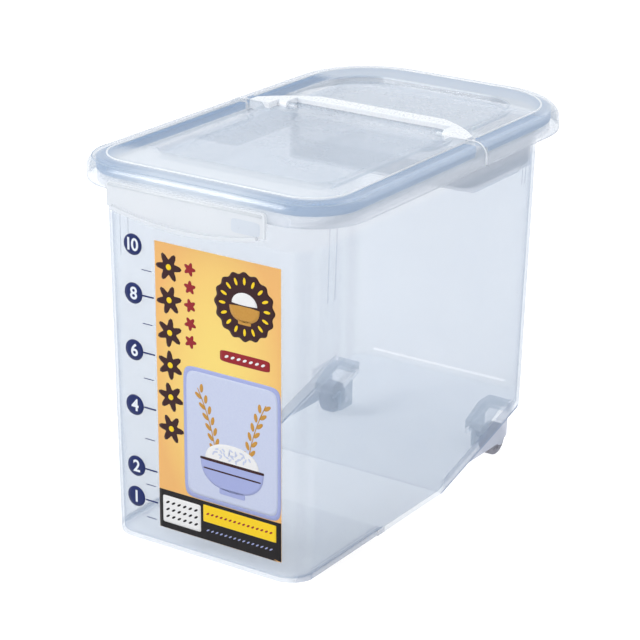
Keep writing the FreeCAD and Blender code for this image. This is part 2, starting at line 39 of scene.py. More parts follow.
# The studio: a sheet of matt white paper under the bin in a white room, lit by three large soft boxes.
# Paper and room show white to the camera and in reflections, and the paper keeps the bin's soft shadow.
# The studio and the camera are in metres, and the bin's own sizes are in millimetres.
PAPER_HALF = 4.5
PAPER_WHITE = "#F4F5F7"
PAPER_FIBRE = 0.0025        # coarser than real fibres, so that they show
PAPER_TOOTH = 0.00005
PAPER_LIFT = 0.36
ROOM_LEVEL = 0.62
LIT_POINT = (0.0, 0.0, 0.14)
SOFT_BOXES = {              # place, side of the square, watts, colour
    "key_box": ((-1.3, -1.7, 2.0), 1.2, 34.0, "#FFFFFF"),
    "side_box": ((2.1, -0.7, 1.3), 1.5, 9.0, "#F3F7FF"),
    "back_box": ((0.3, 2.0, 2.1), 1.8, 16.0, "#FFFFFF"),
}


def linear(hex_colour):
    """An sRGB hex colour as linear red, green, blue and 1: each channel is undone by the sRGB curve."""
    share = np.array([int(hex_colour[i:i + 2], 16) for i in (1, 3, 5)]) / 255
    return (*np.where(share <= 0.04045, share / 12.92, ((share + 0.055) / 1.055) ** 2.4).tolist(), 1.0)


def add(tree, kind, sockets=None, **settings):
    """Adds a node with its settings. Each socket gets its value, or is linked from the output it is given."""
    made = tree.nodes.new("ShaderNode" + kind)
    for name, value in settings.items():
        setattr(made, name, value)
    for name, value in (sockets or {}).items():
        if isinstance(value, bpy.types.NodeSocket):
            tree.links.new(value, made.inputs[name])
        else:
            made.inputs[name].default_value = value
    return made


def emptied(owner):
    """The node tree of a material or a world with nothing in it."""
    owner.use_nodes = True
    owner.node_tree.nodes.clear()
    return owner.node_tree


def seen_directly(tree):
    """1 for what the camera sees, straight or in a reflection or through plastic, and 0 for light."""
    path = add(tree, "LightPath")
    mirror = add(tree, "Math", {0: path.outputs["Is Camera Ray"], 1: path.outputs["Is Glossy Ray"]},
                 operation="MAXIMUM")
    return add(tree, "Math", {0: mirror.outputs[0], 1: path.outputs["Is Transmission Ray"]},
               operation="MAXIMUM").outputs[0]


paper = bpy.data.materials.new("matt_white_paper")
tree = emptied(paper)
place = add(tree, "TexCoord")
fibre = add(tree, "TexNoise", {"Vector": place.outputs["Object"], "Scale": 1 / PAPER_FIBRE, "Detail": 2.0})
tooth = add(tree, "Bump", {"Height": fibre.outputs["Fac"], "Strength": 0.1, "Distance": PAPER_TOOTH})
matt = add(tree, "BsdfDiffuse", {"Color": linear(PAPER_WHITE), "Roughness": 0.8,
                                 "Normal": tooth.outputs["Normal"]})
lift = add(tree, "Math", {0: seen_directly(tree), 1: PAPER_LIFT}, operation="MULTIPLY")
glow = add(tree, "Emission", {"Color": (1, 1, 1, 1), "Strength": lift.outputs[0]})
both = add(tree, "AddShader", {0: matt.outputs[0], 1: glow.outputs[0]})
add(tree, "OutputMaterial", {"Surface": both.outputs[0]})

floor_mesh = bpy.data.meshes.new("floor")
floor_mesh.from_pydata([(-PAPER_HALF, -PAPER_HALF, 0), (PAPER_HALF, -PAPER_HALF, 0),
                        (PAPER_HALF, PAPER_HALF, 0), (-PAPER_HALF, PAPER_HALF, 0)], [], [(0, 1, 2, 3)])
floor_mesh.materials.append(paper)
floor = bpy.data.objects.new("floor", floor_mesh)
scene.collection.objects.link(floor)

room = bpy.data.worlds.new("white_room")
scene.world = room
tree = emptied(room)
level = add(tree, "MapRange", {"Value": seen_directly(tree), "To Min": ROOM_LEVEL, "To Max": 1.0})
walls = add(tree, "Background", {"Color": (1, 1, 1, 1), "Strength": level.outputs["Result"]})
add(tree, "OutputWorld", {"Surface": walls.outputs[0]})

for name, (box_place, size, watts, colour) in SOFT_BOXES.items():
    lamp = bpy.data.lights.new(name, "AREA")
    lamp.shape, lamp.size, lamp.energy, lamp.color = "SQUARE", size, watts, linear(colour)[:3]
    soft_box = bpy.data.objects.new(name, lamp)
    soft_box.rotation_mode = "QUATERNION"
    soft_box.location = box_place
    soft_box.rotation_quaternion = (Vector(LIT_POINT) - Vector(box_place)).to_track_quat("-Z", "Y")
    scene.collection.objects.link(soft_box)

# The camera: a long lens to the right of the front and a little above the lid, tilted by one degree. Its
# place and lens come from the outline of the bin in the photograph, and the shift from where its axis met it.
PICTURE = 640
FOCAL_PIXELS = 2311.6
AXIS_PIXEL = (326.05, 319.90)
SENSOR = 36.0
CAMERA_PLACE = (0.88841, -1.37997, 0.73657)
CAMERA_AZIMUTH = math.radians(32.927)
CAMERA_HEIGHT = math.radians(20.200)
CAMERA_TILT = math.radians(0.979)
CAMERA_REACH = 30

back = Vector((math.sin(CAMERA_AZIMUTH) * math.cos(CAMERA_HEIGHT),
               -math.cos(CAMERA_AZIMUTH) * math.cos(CAMERA_HEIGHT), math.sin(CAMERA_HEIGHT)))
level_right = Vector((0, 0, 1)).cross(back).normalized()
level_up = back.cross(level_right)
right = level_right * math.cos(CAMERA_TILT) + level_up * math.sin(CAMERA_TILT)
up = level_up * math.cos(CAMERA_TILT) - level_right * math.sin(CAMERA_TILT)
lens = bpy.data.cameras.new("camera")
lens.sensor_width = SENSOR
lens.lens = FOCAL_PIXELS * SENSOR / PICTURE
lens.shift_x = (PICTURE / 2 - AXIS_PIXEL[0]) / PICTURE
lens.shift_y = (AXIS_PIXEL[1] - PICTURE / 2) / PICTURE
lens.clip_end = CAMERA_REACH
camera = bpy.data.objects.new("camera", lens)
camera.matrix_world = Matrix([[right[i], up[i], back[i], CAMERA_PLACE[i]] for i in range(3)] + [[0, 0, 0, 1]])
scene.collection.objects.link(camera)
scene.camera = camera

# The tub: one injection moulding in clear polypropylene, faintly blue and milky, with walls 2.2 mm thick.
# A wall looks thin where it is faced, and denser and greyer where it is seen edge on. Floors, corners,
# housings and fenders have layers of their own, for thicker, textured and milkier plastic. The foot of the
# walls is darker, painted shade over the thicker radius there, the rim is painted lighter as painted light
# under the lids, and a clear whitish line at the foot of the rear wall is a painted highlight.
MM = 0.001
TUB_THIN = "#A9BDD6"
TUB_THICK = "#B9CADD"
TUB_EDGE = "#A9B8CE"
TUB_DENSE = "#A6B6CC"
TUB_LINE = "#8091AD"
TUB_BAND = "#8798B3"
TUB_HOUSING = "#C0CDDE"
# A painted highlight: nearly clear and whitish, for the line at the foot of the rear wall.
TUB_PAINTED_HIGHLIGHT = "#F4F8FC"
# Painted light: the rim lighter than the walls where the lids shade it.
TUB_RIM_PAINTED_LIGHT = "#DCE2EC"
TUB_FENDER = "#CCD2E2"
TUB_LAYERS = (              # place, share of it that shows, colour, density
    ("slope", 0.3, TUB_DENSE, 0.32),
    ("base", 0.4, TUB_DENSE, 0.36),
    ("well", 0.8, TUB_HOUSING, 0.4),
    ("cheek", 0.8, TUB_HOUSING, 0.5),
    ("corner", 0.3, TUB_DENSE, 0.35),
    ("band", 0.85, TUB_BAND, 0.56),
    ("line", 1.0, TUB_LINE, 0.9),
    ("fender", 1.0, TUB_FENDER, 0.66),
    # foot and side_foot: darker along the foot of the walls, painted shade over the thicker radius there
    ("foot", 0.45, TUB_DENSE, 0.45),
    ("side_foot", 0.8, TUB_BAND, 0.55),
    # radius: a painted highlight, a nearly clear whitish line
    ("radius", 1.0, TUB_PAINTED_HIGHLIGHT, 0.02),
    # rim: painted light, the top painted lighter and milkier under the lids
    ("rim", 0.75, TUB_RIM_PAINTED_LIGHT, 0.3),
)
FAR = 1000.0                # beyond any part of the bin
FLOW_LENGTH = 42.0
HAZE_GRAIN = 3.0            # coarser than real haze, so that it shows
HAZE_LOW, HAZE_HIGH = 0.3, 0.7
SMOOTH_SHARE, ROUGH_SHARE = 0.8, 1.25
FLOW_DEPTH = 1.5
EDGE_POWER = 3.0
LIGHT_HELD = 0.12
SLOPE_START, SLOPE_LENGTH, SLOPE_RISE = 29.65, 135.0, 38.3
WALL_NEAR, OUTER_FACE, WALL_SKIN = 76.0, 83.3, 2.0
FLOOR_UNDER, FLOOR_SKIN = -1.0, 3.0
BAND_FOOT, BAND_HEIGHT, BAND_END = -0.5, 11.5, 138.0
LINE_LOW, LINE_HIGH = -0.7, 0.8
FENDER_TOP = -0.8
FOOT_HEIGHT, FOOT_END = 4.6, -53.0
# Where the painted highlight lies: a line at the foot of the rear wall.
RADIUS_LOW, RADIUS_HIGH, RADIUS_NEAR, RADIUS_HALF = 44.3, 46.1, 150.0, 63.0
WELL_FRONT, WELL_REAR, WELL_INNER, WELL_TOP = 101.8, 139.5, 61.5, 41.2
CHEEK_OUTER = 64.7
TUB_MIDDLE, CORNER_NEAR, CORNER_ALONG = -3.1, 78.0, 153.0
# Where the rim's painted light begins.
RIM_FOOT = 247.0


def within(tree, value, first, last, soft=0.5):
    """1 where a coordinate lies between two others, in millimetres, and 0 outside, softly at both ends."""
    low = add(tree, "MapRange", {"Value": value, "From Min": (first - soft) * MM,
                                 "From Max": (first + soft) * MM}).outputs["Result"]
    return add(tree, "MapRange", {"Value": value, "From Min": (last - soft) * MM,
                                  "From Max": (last + soft) * MM, "To Min": low,
                                  "To Max": 0.0}).outputs["Result"]


def together(tree, *shares):
    """The product of some shares."""
    product = shares[0]
    for share in shares[1:]:
        product = add(tree, "Math", {0: product, 1: share}, operation="MULTIPLY").outputs[0]
    return product


def moulded_plastic(name, first, second, edge=None, *, faced=1.0, edge_on=1.0, roughness, flow, grain, relief,
                    gloss=0.5, places=None, layers=()):
    """Injection moulded plastic. Long soft flow waves shade it between two colours, and a fine grain varies
    its gloss. Where it isn't opaque it turns denser and towards the edge colour as it is seen edge on, and
    holds back only a share of the light that goes through it. Places gives the masks of its layers by name,
    and each layer moves the plastic's colour and density towards its own inside its mask."""
    material = bpy.data.materials.new(name)
    tree = emptied(material)
    place = add(tree, "TexCoord").outputs["Object"]
    wave = add(tree, "TexNoise", {"Vector": place, "Scale": 1 / (flow * MM), "Detail": 2.0}).outputs["Fac"]
    speck = add(tree, "TexNoise", {"Vector": place, "Scale": 1 / (grain * MM), "Detail": 3.0}).outputs["Fac"]
    shade = add(tree, "Mix", {0: wave, 6: linear(first), 7: linear(second)}, data_type="RGBA").outputs[2]
    rough = add(tree, "MapRange", {"Value": speck, "From Min": HAZE_LOW, "From Max": HAZE_HIGH,
                                   "To Min": roughness * SMOOTH_SHARE,
                                   "To Max": roughness * ROUGH_SHARE}).outputs["Result"]
    ripple = add(tree, "Bump", {"Height": wave, "Strength": relief, "Distance": FLOW_DEPTH * MM})
    skin = add(tree, "BsdfPrincipled", {"Roughness": rough, "IOR": 1.49, "Normal": ripple.outputs["Normal"],
                                        "Specular IOR Level": gloss})
    if faced < 1:
        facing = add(tree, "LayerWeight", {"Blend": 0.5}).outputs["Facing"]
        bend = add(tree, "Math", {0: facing, 1: EDGE_POWER}, operation="POWER").outputs[0]
        depth = add(tree, "MapRange", {"Value": bend, "To Min": faced, "To Max": edge_on}).outputs["Result"]
        shade = add(tree, "Mix", {0: bend, 6: shade, 7: linear(edge)}, data_type="RGBA").outputs[2]
        masks = places(tree, place) if places else {}
        for layer, shown, colour, density in layers:
            share = together(tree, masks[layer], shown)
            depth = add(tree, "MapRange", {"Value": share, "To Min": depth,
                                           "To Max": density}).outputs["Result"]
            shade = add(tree, "Mix", {0: share, 6: shade, 7: linear(colour)}, data_type="RGBA").outputs[2]
        path = add(tree, "LightPath")
        lighting = add(tree, "Math", {0: path.outputs["Is Shadow Ray"], 1: path.outputs["Is Diffuse Ray"]},
                       operation="MAXIMUM").outputs[0]
        light = add(tree, "MapRange", {"Value": lighting, "To Min": 1.0, "To Max": LIGHT_HELD})
        tree.links.new(together(tree, depth, light.outputs["Result"]), skin.inputs["Alpha"])
    tree.links.new(shade, skin.inputs["Base Color"])
    add(tree, "OutputMaterial", {"Surface": skin.outputs[0]})
    return material


def coat(node, material):
    """Gives a node of the frame its finish, in place of the plain one it came with."""
    nodes[node].data.materials.clear()
    nodes[node].data.materials.append(material)


def tub_places(tree, place):
    """The masks of the tub's layers. Height is over the sloping underside, z - (y - start) rise / length.
    Slope and base are the skin of the floor, well and cheek the top and the inner face of a housing. On each
    side wall a band stands on the slope, with a line at its foot and the milky fender below. Corner is the
    four upright corners, foot the foot of the walls at the front, side_foot its two side stretches: both are
    darker, painted shade over the thicker radius there. Radius is a painted highlight, a clear whitish line
    at the foot of the rear wall, and rim the top, painted lighter as painted light under the lids."""
    axes = add(tree, "SeparateXYZ", {0: place})
    y, z = axes.outputs["Y"], axes.outputs["Z"]
    across = add(tree, "Math", {0: axes.outputs["X"]}, operation="ABSOLUTE").outputs[0]
    pitch = SLOPE_RISE / SLOPE_LENGTH
    lean = add(tree, "Math", {0: y, 1: -pitch, 2: z}, operation="MULTIPLY_ADD").outputs[0]
    height = add(tree, "Math", {0: lean, 1: SLOPE_START * pitch * MM}, operation="ADD").outputs[0]
    along = add(tree, "Math", {0: y, 1: TUB_MIDDLE * MM}, operation="SUBTRACT").outputs[0]
    far_along = add(tree, "Math", {0: along}, operation="ABSOLUTE").outputs[0]
    on_wall = together(tree, within(tree, across, WALL_NEAR, FAR), within(tree, y, SLOPE_START, FAR, soft=4))
    outer = within(tree, across, OUTER_FACE, FAR, soft=0.3)
    inside = within(tree, across, -FAR, OUTER_FACE - WALL_SKIN, soft=2)
    housing = within(tree, y, WELL_FRONT, WELL_REAR)
    foot = together(tree, within(tree, z, FLOOR_UNDER, FOOT_HEIGHT, soft=1),
                    within(tree, y, -FAR, FOOT_END, soft=1))
    return {
        "slope": together(tree, inside, within(tree, height, FLOOR_UNDER, FLOOR_SKIN),
                          within(tree, y, SLOPE_START, FAR)),
        "base": together(tree, inside, within(tree, z, FLOOR_UNDER, FLOOR_SKIN),
                         within(tree, y, -FAR, SLOPE_START)),
        "well": together(tree, housing, within(tree, across, WELL_INNER, FAR),
                         within(tree, height, 0, WELL_TOP), within(tree, z, 0, WELL_TOP)),
        "cheek": together(tree, housing, within(tree, across, WELL_INNER, CHEEK_OUTER),
                          within(tree, height, -FAR, 0)),
        "corner": together(tree, within(tree, across, CORNER_NEAR, FAR, soft=3),
                           within(tree, far_along, CORNER_ALONG, FAR, soft=4),
                           within(tree, z, -FAR, RIM_FOOT)),
        "band": together(tree, on_wall, outer, within(tree, height, BAND_FOOT, BAND_HEIGHT),
                         within(tree, y, 0, BAND_END, soft=3)),
        "line": together(tree, on_wall, outer, within(tree, height, LINE_LOW, LINE_HIGH, soft=0.3)),
        "fender": together(tree, on_wall, within(tree, height, -FAR, FENDER_TOP, soft=0.3)),
        "foot": foot,
        "side_foot": together(tree, foot, within(tree, across, WALL_NEAR, FAR, soft=4)),
        "radius": together(tree, within(tree, z, RADIUS_LOW, RADIUS_HIGH, soft=0.3),
                           within(tree, y, RADIUS_NEAR, FAR),
                           within(tree, across, -FAR, RADIUS_HALF, soft=1)),
        "rim": within(tree, z, RIM_FOOT, FAR, soft=1),
    }


clear_wall = moulded_plastic("moulded_clear_polypropylene", TUB_THIN, TUB_THICK, TUB_EDGE, faced=0.17,
                             edge_on=0.7, roughness=0.2, flow=FLOW_LENGTH, grain=HAZE_GRAIN, relief=0.03,
                             gloss=0.15, places=tub_places, layers=TUB_LAYERS)
coat("tub", clear_wall)

# The scale: navy ink screen-printed on the outside of the front wall, a disc with its number at 10, 8, 6, 4,
# 2 and 1, a bar from each disc from 8 down, and a fine line at each level between.
TUB_FRONT = -170.85
TUB_HALF_WIDTH = 88.5
TUB_LEAN = 4.5
TUB_CORNER = 21.0
CORNER_REACH_SHARE = 0.95
SHELF_HEIGHT = 267.5
NAVY_INK = "#16235A"
NAVY_INK_THIN = "#22306A"
DIGIT_WHITE = "#EEF3FA"
DIGIT_WHITE_THIN = "#E2E9F3"
INK_FILM = 0.04
INK_LIFT = 0.05
INK_MESH = 1.2              # coarser than a real screen, so that it shows
PRINT_SMOOTH, PRINT_ROUGH = 0.28, 0.42
DISC_PLACES = {"10": (-56.6, 227.7), "8": (-56.9, 191.4), "6": (-57.3, 148.4), "4": (-58.0, 105.9),
               "2": (-57.9, 58.0), "1": (-58.6, 33.7)}
DISC_RADIUS = 7.9
BAR_LEVELS = (191.2, 148.2, 106.0, 57.7, 33.2)
BAR_MIDDLE, BAR_HALF, BAR_HALF_HEIGHT = -44.6, 5.6, 0.62
LINE_LEVELS = (210.5, 170.3, 128.6, 81.8, 45.7, 19.6)
LINE_MIDDLE, LINE_HALF, LINE_HALF_HEIGHT = -45.1, 4.4, 0.32
DIGIT_HEIGHT = 9.2
DIGIT_SWELL = 0.28
DIGIT_SPACING = 0.86
CAP_SHARE = 0.72            # a digit's height as a share of the font's size
ROUND, BOXY = 2, 8          # powers of a superellipse
PLAIN_SHAPE = (0, 0, 0, 0, ROUND, 0, 0, 0, 1, 1)
RING_STEP, RINGS_LEAST = 2.2, 3
SMALL_SPAN, SPOKES_SMALL, SPOKES_LARGE = 14, 40, 200


def wall_front(x, z):
    """Y of the tub's front face: it leans back by TUB_LEAN from the shelf to the floor, and turns into each
    side wall on a quarter circle of radius TUB_CORNER."""
    down = 1 - z / SHELF_HEIGHT
    straight = TUB_HALF_WIDTH - TUB_LEAN * down - TUB_CORNER
    reach = np.clip(np.abs(x) - straight, 0, CORNER_REACH_SHARE * TUB_CORNER)
    return TUB_FRONT + TUB_LEAN * down + TUB_CORNER - np.sqrt(TUB_CORNER ** 2 - reach ** 2)


def mesh_object(name, points, faces, material, body, smooth=True):
    """A piece from an array of points, in millimetres, and a list of faces, riding on its body."""
    mesh = bpy.data.meshes.new(name)
    mesh.from_pydata((points * MM).tolist(), [], faces)
    mesh.materials.append(material)
    mesh.polygons.foreach_set("use_smooth", [smooth] * len(mesh.polygons))
    piece = bpy.data.objects.new(name, mesh)
    scene.collection.objects.link(piece)
    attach(piece, body)
    return piece


def printed(name, shapes, lift, material):
    """Ink shapes on the front wall. Each row of shapes is x, z, half width, half height in millimetres, the
    power of its superellipse, its turn, the count and depth of its petals, and how far up and down of its
    middle it reaches. What a row leaves out is as in PLAIN_SHAPE. A point at share s and angle t lies at
    s R(t) along t, where R is (|cos t|^p + |sin t|^p)^(-1/p), pulled in between the petals and cut flat above
    and below."""
    rows = np.array([tuple(row) + PLAIN_SHAPE[len(row):] for row in shapes], dtype=float)
    x0, z0, wide, high, power, turn, petals, depth, above, below = rows.T[:, :, None, None]
    span = max(wide.max(), high.max())
    rings = max(RINGS_LEAST, int(span / RING_STEP))
    spokes = SPOKES_SMALL if span < SMALL_SPAN else SPOKES_LARGE
    s = (np.arange(1, rings + 1) / rings)[None, :, None]
    t = (np.arange(spokes) * 2 * np.pi / spokes)[None, None, :]
    edge = (np.abs(np.cos(t)) ** power + np.abs(np.sin(t)) ** power) ** (-1 / power)
    edge = edge * (1 - depth * (0.5 - 0.5 * np.cos(petals * t)))
    flat = np.where(np.sin(t) > 0, above, below) / np.maximum(np.abs(np.sin(t)), 1e-6)
    edge = np.minimum(edge, flat)
    u, v = wide * s * edge * np.cos(t), high * s * edge * np.sin(t)
    x = x0 + u * np.cos(turn) - v * np.sin(turn)
    z = z0 + u * np.sin(turn) + v * np.cos(turn)
    x = np.concatenate([x0[:, :, 0], x.reshape(len(rows), -1)], axis=1)
    z = np.concatenate([z0[:, :, 0], z.reshape(len(rows), -1)], axis=1)
    points = np.stack([x, wall_front(x, z) - lift, z], axis=-1).reshape(-1, 3)
    along = np.arange(spokes)
    after = (along + 1) % spokes
    fan = np.stack([0 * along, 1 + along, 1 + after], axis=1)
    ring = np.arange(rings - 1)[:, None] * spokes + 1
    quads = np.stack([ring + along, ring + spokes + along, ring + spokes + after, ring + after], axis=-1)
    first = (np.arange(len(rows)) * (rings * spokes + 1))[:, None, None]
    faces = (fan + first).reshape(-1, 3).tolist() + (quads.reshape(-1, 4) + first).reshape(-1, 4).tolist()
    piece = mesh_object(name, points, faces, material, "tub_body")
    film = piece.modifiers.new("film", "SOLIDIFY")
    film.thickness = INK_FILM * MM
    film.offset = -1


def screen_ink(name, dense, thin):
    """Printing ink: an even film with a faint mesh of thinner spots left by the screen."""
    material = bpy.data.materials.new(name)
    tree = emptied(material)
    place = add(tree, "TexCoord").outputs["Object"]
    spots = add(tree, "TexNoise", {"Vector": place, "Scale": 1 / (INK_MESH * MM),
                                   "Detail": 2.0}).outputs["Fac"]
    shade = add(tree, "Mix", {0: spots, 6: linear(dense), 7: linear(thin)}, data_type="RGBA").outputs[2]
    gloss = add(tree, "MapRange", {"Value": spots, "To Min": PRINT_SMOOTH,
                                   "To Max": PRINT_ROUGH}).outputs["Result"]
    skin = add(tree, "BsdfPrincipled", {"Base Color": shade, "Roughness": gloss, "IOR": 1.5,
                                        "Specular IOR Level": 0.2})
    add(tree, "OutputMaterial", {"Surface": skin.outputs[0]})
    return material


navy = screen_ink("navy_screen_ink", NAVY_INK, NAVY_INK_THIN)
white_ink = screen_ink("white_screen_ink", DIGIT_WHITE, DIGIT_WHITE_THIN)
printed("scale_discs", [(x, z, DISC_RADIUS, DISC_RADIUS) for x, z in DISC_PLACES.values()],
        INK_LIFT, navy)
printed("scale_bars", [(BAR_MIDDLE, z, BAR_HALF, BAR_HALF_HEIGHT, BOXY) for z in BAR_LEVELS],
        INK_LIFT, navy)
printed("scale_lines", [(LINE_MIDDLE, z, LINE_HALF, LINE_HALF_HEIGHT, BOXY) for z in LINE_LEVELS],
        INK_LIFT, navy)

digit_points, digit_faces = [], []
for word, (x, z) in DISC_PLACES.items():
    letters = bpy.data.curves.new("digits_" + word, "FONT")
    letters.body, letters.align_x, letters.align_y = word, "CENTER", "CENTER"
    letters.size = DIGIT_HEIGHT / CAP_SHARE * MM
    letters.offset = DIGIT_SWELL * MM
    letters.extrude = INK_FILM / 2 * MM
    letters.space_character = DIGIT_SPACING
    carrier = bpy.data.objects.new(letters.name, letters)
    flat = bpy.data.meshes.new_from_object(carrier)
    corners = np.empty(len(flat.vertices) * 3)
    flat.vertices.foreach_get("co", corners)
    corners = corners.reshape(-1, 3) / MM
    middle = (corners.max(0) + corners.min(0)) / 2
    across, high = corners[:, 0] - middle[0] + x, corners[:, 1] - middle[1] + z
    outer_y = wall_front(across, high) - INK_LIFT - INK_FILM - corners[:, 2]
    start = sum(len(block) for block in digit_points)
    digit_points.append(np.stack([across, outer_y, high], axis=1))
    digit_faces += [[corner + start for corner in face.vertices] for face in flat.polygons]
    bpy.data.objects.remove(carrier)
mesh_object("scale_digits", np.concatenate(digit_points), digit_faces, white_ink, "tub_body",
            smooth=False)

# The label: glossy printed paper stuck on the front wall, warm yellow in its middle and orange to its edges.
# Its print is plain: a bowl of rice on a pale blue panel, ears of rice, rosettes of grains and a black foot.
# Sizes on it are millimetres on the wall, and each layer of ink lies a print step over the one before.
LABEL_LEFT, LABEL_RIGHT, LABEL_FOOT = -37.5, 68.5, 15.5
LABEL_MIDDLE, LABEL_HALF = (LABEL_LEFT + LABEL_RIGHT) / 2, (LABEL_RIGHT - LABEL_LEFT) / 2
LABEL_YELLOW = "#F6DA74"
LABEL_ORANGE = "#EDB468"
LABEL_SKIN = 0.15
PRINT_STEP = 0.05
PRINT_MARGIN = 0.1
PAPER_GRAIN = 0.9           # coarser than real fibres, so that they show
PAPER_RELIEF = 0.05
PAPER_MOTTLE = 0.12
FADE_HALF, FADE_LOW, FADE_HIGH = 60.0, 20.0, 260.0
LABEL_BAND_HALF = 15.2
GRID_X, GRID_Z, GRID_STEP_X, GRID_STEP_Z, GRID_COLUMNS, GRID_ROWS = -30.0, 25.5, 5.0, 5.5, 6, 3
DOT_X, DOT_STEP, DOTS, DOTS_HIGH, DOTS_LOW = 5.5, 3.9, 15, 36.6, 23.6
PANEL_X, PANEL_Z = 27.0, 97.0
BADGE_X, BADGE_Z, BADGE_RING, BADGE_GRAINS = 38.5, 201.0, 18.6, 16
PILL_Z, PILL_LEFT, PILL_STEP, PILL_GRAINS = 161.5, 23.2, 5.1, 7
ROSETTE_X, ROSETTE_TOP, ROSETTE_STEP, ROSETTES = -25.6, 217.0, 24.4, 6
STAR_X, STAR_TOP, STAR_STEP, STARS = -7.6, 219.0, 13.4, 5
EAR_RIGHT, EAR_LEFT, EAR_FOOT, EAR_HEIGHT, EAR_REACH, EAR_STEPS = 40.0, 14.0, 70.0, 60.0, 15.0, 17
STEM_HALF, STEM_HALF_WIDTH, STEM_POWER = 2.6, 0.4, 4
HUSK_START, HUSK_OFF, HUSK_UP, HUSK_HALF, HUSK_HALF_WIDTH, HUSK_TURN = 0.3, 2.6, 1.5, 3.3, 1.5, 0.5
RICE_COUNT, RICE_HALF, RICE_Z, RICE_HALF_HEIGHT, RICE_ANGLE, RICE_TURN = 26, 17.0, 87.0, 4.6, 2.4, 1.3

glossy_paper = bpy.data.materials.new("glossy_printed_paper")
tree = emptied(glossy_paper)
place = add(tree, "TexCoord").outputs["Object"]
split = add(tree, "SeparateXYZ", {0: place})
side = add(tree, "MapRange", {"Value": split.outputs["X"], "From Min": (LABEL_MIDDLE - FADE_HALF) * MM,
                              "From Max": (LABEL_MIDDLE + FADE_HALF) * MM, "To Min": -1.0,
                              "To Max": 1.0}).outputs["Result"]
rise = add(tree, "MapRange", {"Value": split.outputs["Z"], "From Min": FADE_LOW * MM,
                              "From Max": FADE_HIGH * MM, "To Min": -1.0, "To Max": 1.0}).outputs["Result"]
side_far = add(tree, "Math", {0: side, 1: side}, operation="MULTIPLY").outputs[0]
rise_far = add(tree, "Math", {0: rise, 1: rise, 2: side_far}, operation="MULTIPLY_ADD").outputs[0]
fibres = add(tree, "TexNoise", {"Vector": place, "Scale": 1 / (PAPER_GRAIN * MM),
                                "Detail": 4.0}).outputs["Fac"]
warmth = add(tree, "Math", {0: fibres, 1: PAPER_MOTTLE, 2: rise_far}, operation="MULTIPLY_ADD").outputs[0]
ground = add(tree, "Mix", {0: warmth, 6: linear(LABEL_YELLOW), 7: linear(LABEL_ORANGE)}, data_type="RGBA")
gloss = add(tree, "MapRange", {"Value": fibres, "To Min": PRINT_SMOOTH,
                               "To Max": PRINT_ROUGH}).outputs["Result"]
weave = add(tree, "Bump", {"Height": fibres, "Strength": 0.05, "Distance": PAPER_RELIEF * MM})
skin = add(tree, "BsdfPrincipled", {"Base Color": ground.outputs[2], "Roughness": gloss, "IOR": 1.5,
                                    "Normal": weave.outputs["Normal"]})
add(tree, "OutputMaterial", {"Surface": skin.outputs[0]})
coat("front_label", glossy_paper)

black_ink = screen_ink("black_offset_ink", "#141214", "#1E1B1E")
brown_ink = screen_ink("brown_offset_ink", "#2E1418", "#3C1C20")
red_ink = screen_ink("red_offset_ink", "#8E1B24", "#9C2630")
blue_ink = screen_ink("pale_blue_offset_ink", "#C3CBE6", "#CDD5EA")
lilac_ink = screen_ink("lilac_offset_ink", "#9FA9DA", "#AAB3DF")
ochre_ink = screen_ink("ochre_offset_ink", "#C08A3A", "#CC9A4A")
yellow_ink = screen_ink("yellow_offset_ink", "#F8CF17", "#F9D62F")
label_white = screen_ink("white_offset_ink", "#F2F2F0", "#E6E7EA")


def ear(root_x, side):
    """An ear of rice: a stem whose lean grows with the square of its height, and pairs of husks that stand
    off it by turns to one side and the other, as rows for the printed shapes."""
    h = np.linspace(0, 1, EAR_STEPS)
    stem_x, stem_z = root_x + side * EAR_REACH * h ** 2, EAR_FOOT + EAR_HEIGHT * h
    lean = np.arctan2(EAR_HEIGHT, side * 2 * EAR_REACH * h)
    stem = np.stack([stem_x, stem_z, 0 * h + STEM_HALF, 0 * h + STEM_HALF_WIDTH, 0 * h + STEM_POWER,
                     lean], axis=1)
    hand = np.where(np.arange(EAR_STEPS) % 2 == 0, 1.0, -1.0)
    husk_x = stem_x + HUSK_OFF * hand * np.sin(lean)
    husk_z = stem_z + HUSK_UP - HUSK_OFF * hand * np.cos(lean)
    husks = np.stack([husk_x, husk_z, 0 * h + HUSK_HALF, 0 * h + HUSK_HALF_WIDTH, 0 * h + ROUND,
                      lean - HUSK_TURN * hand], axis=1)
    return np.concatenate([stem, husks[h > HUSK_START]])


def grains(places, half, half_height, turn):
    """Grains of one size at some places."""
    return [(x, z, half, half_height, ROUND, turn) for x, z in places]


foot_z = LABEL_FOOT + PRINT_MARGIN + LABEL_BAND_HALF
foot_grid = [(GRID_X + GRID_STEP_X * column, GRID_Z + GRID_STEP_Z * row)
             for row in range(GRID_ROWS) for column in range(GRID_COLUMNS)]
dot_xs = [DOT_X + DOT_STEP * i for i in range(DOTS)]
ring_angles = np.arange(BADGE_GRAINS) * 2 * math.pi / BADGE_GRAINS
ring = [(BADGE_X + BADGE_RING * math.cos(a), BADGE_Z + BADGE_RING * math.sin(a), 2.7, 1.1, ROUND, a)
        for a in ring_angles]
rosette_zs = [ROSETTE_TOP - ROSETTE_STEP * i for i in range(ROSETTES)]
star_zs = [STAR_TOP - STAR_STEP * i for i in range(STARS)]
k = np.arange(RICE_COUNT)
spread = np.sqrt(k / RICE_COUNT)
rice_grains = np.stack([PANEL_X + RICE_HALF * spread * np.cos(RICE_ANGLE * k),
                        RICE_Z + RICE_HALF_HEIGHT * spread * np.sin(RICE_ANGLE * k),
                        0 * k + 1.7, 0 * k + 0.7, 0 * k + ROUND, RICE_TURN * k], axis=1)
